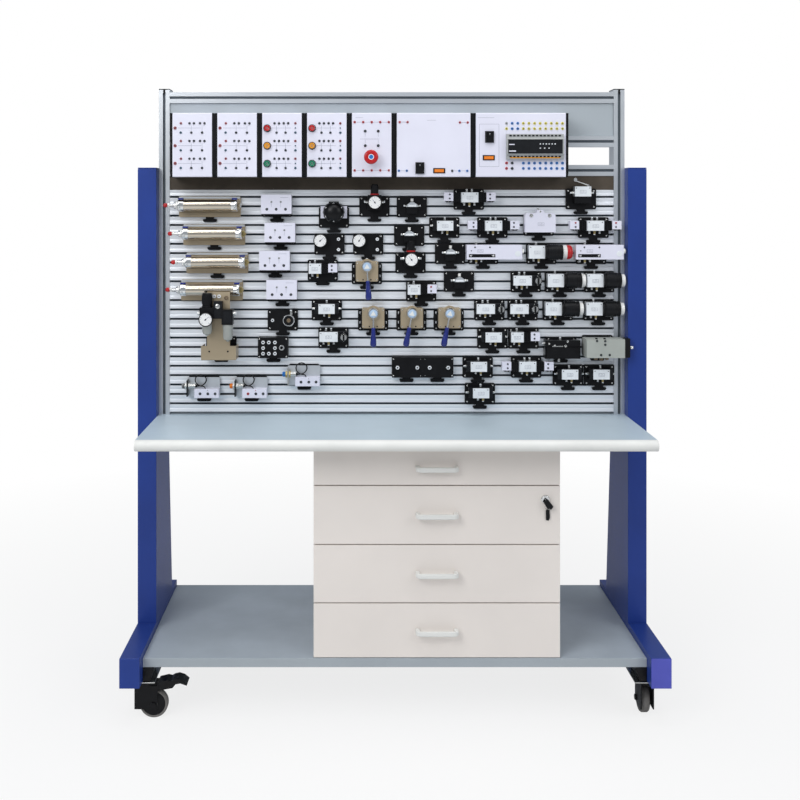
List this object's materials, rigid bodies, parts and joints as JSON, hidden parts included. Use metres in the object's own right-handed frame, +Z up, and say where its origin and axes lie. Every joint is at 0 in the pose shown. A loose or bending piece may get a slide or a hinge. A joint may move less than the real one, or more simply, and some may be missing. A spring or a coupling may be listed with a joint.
{
  "type": "electro-pneumatic training bench",
  "caption": "Wheeled training bench with drawers, a slotted panel of clip-on pneumatic valves, cylinders and regulators, and a row of electric control boxes above",
  "frame": {"origin": "centre of the bounding box's bottom face, on the floor", "axes": "+Z up, the drawers and the panel face -Y, +X to the right of someone facing the panel"},
  "size_m": [1.5, 0.7, 1.776],
  "materials": {
    "blue_paint": "semi-gloss powder coat",
    "grey_board": "satin laminate",
    "white_board": "matte laminate",
    "silver_profile": "satin anodised",
    "pale_case": "satin",
    "black_plastic": "satin",
    "black_metal": "satin",
    "grey_tread": "matte",
    "bright_steel": "polished",
    "red_plastic": "gloss",
    "yellow_plastic": "gloss",
    "green_plastic": "gloss",
    "white_plastic": "gloss",
    "dark_blue_plastic": "gloss"
  },
  "bodies": {
    "bench": {"side_frame_left": "blue_paint", "side_frame_right": "blue_paint", "worktop": "grey_board", "base_shelf": "grey_board", "panel_frame": "silver_profile", "cabinet_carcass": "white_board", "module_cases": "pale_case", "service_unit": "black_plastic", "caster_fork_rear_left": "black_metal", "caster_fork_rear_right": "black_metal", "panel_plank_1": "silver_profile", "panel_plank_2": "silver_profile", "panel_plank_3": "silver_profile", "panel_plank_4": "silver_profile", "panel_plank_5": "silver_profile", "panel_plank_6": "silver_profile"},
    "drawer_1": {"drawer_1": "white_board"},
    "drawer_2": {"drawer_2": "white_board"},
    "drawer_3": {"drawer_3": "white_board"},
    "drawer_4": {"drawer_4": "white_board"},
    "lock_key": {"lock_key": "black_plastic"},
    "caster_fork_front_left": {"caster_fork_front_left": "black_metal"},
    "caster_wheel_front_left": {"caster_wheel_front_left": "grey_tread"},
    "brake_pedal_left": {"brake_pedal_left": "black_metal"},
    "caster_wheel_rear_left": {"caster_wheel_rear_left": "grey_tread"},
    "caster_fork_front_right": {"caster_fork_front_right": "black_metal"},
    "caster_wheel_front_right": {"caster_wheel_front_right": "grey_tread"},
    "brake_pedal_right": {"brake_pedal_right": "black_metal"},
    "caster_wheel_rear_right": {"caster_wheel_rear_right": "grey_tread"},
    "cylinder_rod_1": {"cylinder_rod_1": "bright_steel"},
    "cylinder_rod_2": {"cylinder_rod_2": "bright_steel"},
    "cylinder_rod_3": {"cylinder_rod_3": "bright_steel"},
    "cylinder_rod_4": {"cylinder_rod_4": "bright_steel"},
    "push_button_red_1": {"push_button_red_1": "red_plastic"},
    "push_button_yellow_1": {"push_button_yellow_1": "yellow_plastic"},
    "push_button_green_1": {"push_button_green_1": "green_plastic"},
    "push_button_red_2": {"push_button_red_2": "red_plastic"},
    "push_button_yellow_2": {"push_button_yellow_2": "yellow_plastic"},
    "push_button_green_2": {"push_button_green_2": "green_plastic"},
    "emergency_stop_head": {"emergency_stop_head": "red_plastic"},
    "rocker_switch_power": {"rocker_switch_power": "black_plastic"},
    "rocker_switch_control": {"rocker_switch_control": "black_plastic"},
    "valve_lever_1": {"valve_lever_1": "dark_blue_plastic"},
    "valve_lever_2": {"valve_lever_2": "dark_blue_plastic"},
    "valve_lever_3": {"valve_lever_3": "dark_blue_plastic"},
    "valve_lever_4": {"valve_lever_4": "dark_blue_plastic"},
    "filter_knob": {"filter_knob": "black_plastic"},
    "regulator_knob_1": {"regulator_knob_1": "black_plastic"},
    "regulator_knob_2": {"regulator_knob_2": "black_plastic"},
    "regulator_knob_3": {"regulator_knob_3": "black_plastic"},
    "selector_knob_1": {"selector_knob_1": "black_plastic"},
    "selector_knob_2": {"selector_knob_2": "black_plastic"},
    "selector_knob_3": {"selector_knob_3": "black_plastic"},
    "selector_knob_4": {"selector_knob_4": "black_plastic"},
    "valve_button_1": {"valve_button_1": "white_plastic"},
    "valve_button_2": {"valve_button_2": "white_plastic"},
    "valve_button_3": {"valve_button_3": "white_plastic"},
    "valve_button_4": {"valve_button_4": "white_plastic"},
    "mushroom_valve_head": {"mushroom_valve_head": "red_plastic"},
    "roller_lever": {"roller_lever": "white_plastic"}
  },
  "joints": [
    {"name": "drawer_1_slide", "type": "slide", "parent": "bench", "child": "drawer_1", "axis": [0, -1, 0], "range_m": [0, 0.38]},
    {"name": "drawer_2_slide", "type": "slide", "parent": "bench", "child": "drawer_2", "axis": [0, -1, 0], "range_m": [0, 0.38]},
    {"name": "drawer_3_slide", "type": "slide", "parent": "bench", "child": "drawer_3", "axis": [0, -1, 0], "range_m": [0, 0.38]},
    {"name": "drawer_4_slide", "type": "slide", "parent": "bench", "child": "drawer_4", "axis": [0, -1, 0], "range_m": [0, 0.38]},
    {"name": "lock_key_turn", "type": "hinge", "parent": "drawer_2", "child": "lock_key", "pos_m": [0.4152, -0.231, 0.61779], "axis": [0, 1, 0], "range_deg": [0, 90]},
    {"name": "caster_swivel_front_left", "type": "hinge", "parent": "bench", "child": "caster_fork_front_left", "pos_m": [-0.703, -0.183, 0], "axis": [0, 0, 1], "continuous": true},
    {"name": "caster_roll_front_left", "type": "hinge", "parent": "caster_fork_front_left", "child": "caster_wheel_front_left", "pos_m": [-0.671, -0.183, 0.03951], "axis": [0, 1, 0], "continuous": true},
    {"name": "brake_pedal_left_tilt", "type": "hinge", "parent": "caster_fork_front_left", "child": "brake_pedal_left", "pos_m": [-0.673, -0.183, 0.08651], "axis": [0, 1, 0], "range_deg": [0, 12], "stiffness_Nm_per_rad": 2},
    {"name": "caster_roll_rear_left", "type": "hinge", "parent": "bench", "child": "caster_wheel_rear_left", "pos_m": [-0.703, 0.26, 0.03951], "axis": [1, 0, 0], "continuous": true},
    {"name": "caster_swivel_front_right", "type": "hinge", "parent": "bench", "child": "caster_fork_front_right", "pos_m": [0.703, -0.183, 0], "axis": [0, 0, 1], "continuous": true},
    {"name": "caster_roll_front_right", "type": "hinge", "parent": "caster_fork_front_right", "child": "caster_wheel_front_right", "pos_m": [0.703, -0.151, 0.03951], "axis": [-1, 0, 0], "continuous": true},
    {"name": "brake_pedal_right_tilt", "type": "hinge", "parent": "caster_fork_front_right", "child": "brake_pedal_right", "pos_m": [0.703, -0.153, 0.08651], "axis": [-1, 0, 0], "range_deg": [0, 12], "stiffness_Nm_per_rad": 2},
    {"name": "caster_roll_rear_right", "type": "hinge", "parent": "bench", "child": "caster_wheel_rear_right", "pos_m": [0.703, 0.26, 0.03951], "axis": [1, 0, 0], "continuous": true},
    {"name": "cylinder_rod_1_stroke", "type": "slide", "parent": "bench", "child": "cylinder_rod_1", "axis": [-1, 0, 0], "range_m": [0, 0.1]},
    {"name": "cylinder_rod_2_stroke", "type": "slide", "parent": "bench", "child": "cylinder_rod_2", "axis": [-1, 0, 0], "range_m": [0, 0.1]},
    {"name": "cylinder_rod_3_stroke", "type": "slide", "parent": "bench", "child": "cylinder_rod_3", "axis": [-1, 0, 0], "range_m": [0, 0.1]},
    {"name": "cylinder_rod_4_stroke", "type": "slide", "parent": "bench", "child": "cylinder_rod_4", "axis": [-1, 0, 0], "range_m": [0, 0.1]},
    {"name": "push_button_red_1_press", "type": "slide", "parent": "bench", "child": "push_button_red_1", "axis": [0, 1, 0], "range_m": [0, 0.004], "stiffness_N_per_m": 300},
    {"name": "push_button_yellow_1_press", "type": "slide", "parent": "bench", "child": "push_button_yellow_1", "axis": [0, 1, 0], "range_m": [0, 0.004], "stiffness_N_per_m": 300},
    {"name": "push_button_green_1_press", "type": "slide", "parent": "bench", "child": "push_button_green_1", "axis": [0, 1, 0], "range_m": [0, 0.004], "stiffness_N_per_m": 300},
    {"name": "push_button_red_2_press", "type": "slide", "parent": "bench", "child": "push_button_red_2", "axis": [0, 1, 0], "range_m": [0, 0.004], "stiffness_N_per_m": 300},
    {"name": "push_button_yellow_2_press", "type": "slide", "parent": "bench", "child": "push_button_yellow_2", "axis": [0, 1, 0], "range_m": [0, 0.004], "stiffness_N_per_m": 300},
    {"name": "push_button_green_2_press", "type": "slide", "parent": "bench", "child": "push_button_green_2", "axis": [0, 1, 0], "range_m": [0, 0.004], "stiffness_N_per_m": 300},
    {"name": "emergency_stop_press", "type": "slide", "parent": "bench", "child": "emergency_stop_head", "axis": [0, 1, 0], "range_m": [0, 0.006], "stiffness_N_per_m": 600},
    {"name": "rocker_switch_power_tilt", "type": "hinge", "parent": "bench", "child": "rocker_switch_power", "pos_m": [0.07801, -0.084, 1.53641], "axis": [-1, 0, 0], "range_deg": [0, 18]},
    {"name": "rocker_switch_control_tilt", "type": "hinge", "parent": "bench", "child": "rocker_switch_control", "pos_m": [0.2794, -0.084, 1.62644], "axis": [-1, 0, 0], "range_deg": [0, 18]},
    {"name": "valve_lever_1_swing", "type": "hinge", "parent": "bench", "child": "valve_lever_1", "pos_m": [-0.07419, -0.0191, 1.24798], "axis": [0, 1, 0], "range_deg": [-37, 43]},
    {"name": "valve_lever_2_swing", "type": "hinge", "parent": "bench", "child": "valve_lever_2", "pos_m": [-0.05564, -0.0191, 1.11022], "axis": [0, 1, 0], "range_deg": [-40, 40]},
    {"name": "valve_lever_3_swing", "type": "hinge", "parent": "bench", "child": "valve_lever_3", "pos_m": [0.05829, -0.0191, 1.11022], "axis": [0, 1, 0], "range_deg": [-51, 29]},
    {"name": "valve_lever_4_swing", "type": "hinge", "parent": "bench", "child": "valve_lever_4", "pos_m": [0.16957, -0.0191, 1.11022], "axis": [0, 1, 0], "range_deg": [-51, 29]},
    {"name": "filter_knob_turn", "type": "hinge", "parent": "bench", "child": "filter_knob", "pos_m": [-0.5384, -0.07175, 1.13648], "axis": [0, 0, 1], "range_deg": [-540, 540]},
    {"name": "regulator_knob_1_turn", "type": "hinge", "parent": "bench", "child": "regulator_knob_1", "pos_m": [-0.05167, -0.0148, 1.46296], "axis": [0, 0, 1], "range_deg": [-540, 540]},
    {"name": "regulator_knob_2_turn", "type": "hinge", "parent": "bench", "child": "regulator_knob_2", "pos_m": [0.05564, -0.0148, 1.29524], "axis": [0, 0, 1], "range_deg": [-540, 540]},
    {"name": "regulator_knob_3_turn", "type": "hinge", "parent": "bench", "child": "regulator_knob_3", "pos_m": [-0.17222, -0.0111, 1.4082], "axis": [0, -1, 0], "range_deg": [-540, 540]},
    {"name": "selector_knob_1_turn", "type": "hinge", "parent": "bench", "child": "selector_knob_1", "pos_m": [0.42926, -0.0168, 1.2064], "axis": [0, 1, 0], "range_deg": [0, 90]},
    {"name": "selector_knob_2_turn", "type": "hinge", "parent": "bench", "child": "selector_knob_2", "pos_m": [0.32063, -0.0168, 1.12268], "axis": [0, 1, 0], "range_deg": [0, 90]},
    {"name": "selector_knob_3_turn", "type": "hinge", "parent": "bench", "child": "selector_knob_3", "pos_m": [0.41999, -0.0168, 1.12268], "axis": [0, 1, 0], "range_deg": [0, 90]},
    {"name": "selector_knob_4_turn", "type": "hinge", "parent": "bench", "child": "selector_knob_4", "pos_m": [-0.14305, -0.0168, 1.04036], "axis": [0, 1, 0], "range_deg": [0, 90]},
    {"name": "valve_button_1_press", "type": "slide", "parent": "bench", "child": "valve_button_1", "axis": [-1, 0, 0], "range_m": [0, 0.006], "stiffness_N_per_m": 400},
    {"name": "valve_button_2_press", "type": "slide", "parent": "bench", "child": "valve_button_2", "axis": [-1, 0, 0], "range_m": [0, 0.006], "stiffness_N_per_m": 400},
    {"name": "valve_button_3_press", "type": "slide", "parent": "bench", "child": "valve_button_3", "axis": [-1, 0, 0], "range_m": [0, 0.006], "stiffness_N_per_m": 400},
    {"name": "valve_button_4_press", "type": "slide", "parent": "bench", "child": "valve_button_4", "axis": [-1, 0, 0], "range_m": [0, 0.006], "stiffness_N_per_m": 400},
    {"name": "mushroom_valve_press", "type": "slide", "parent": "bench", "child": "mushroom_valve_head", "axis": [-1, 0, 0], "range_m": [0, 0.006], "stiffness_N_per_m": 400},
    {"name": "roller_lever_press", "type": "hinge", "parent": "bench", "child": "roller_lever", "pos_m": [0.58104, -0.0028, 1.48736], "axis": [0, -1, 0], "range_deg": [0, 12], "stiffness_Nm_per_rad": 0.05}
  ]
}
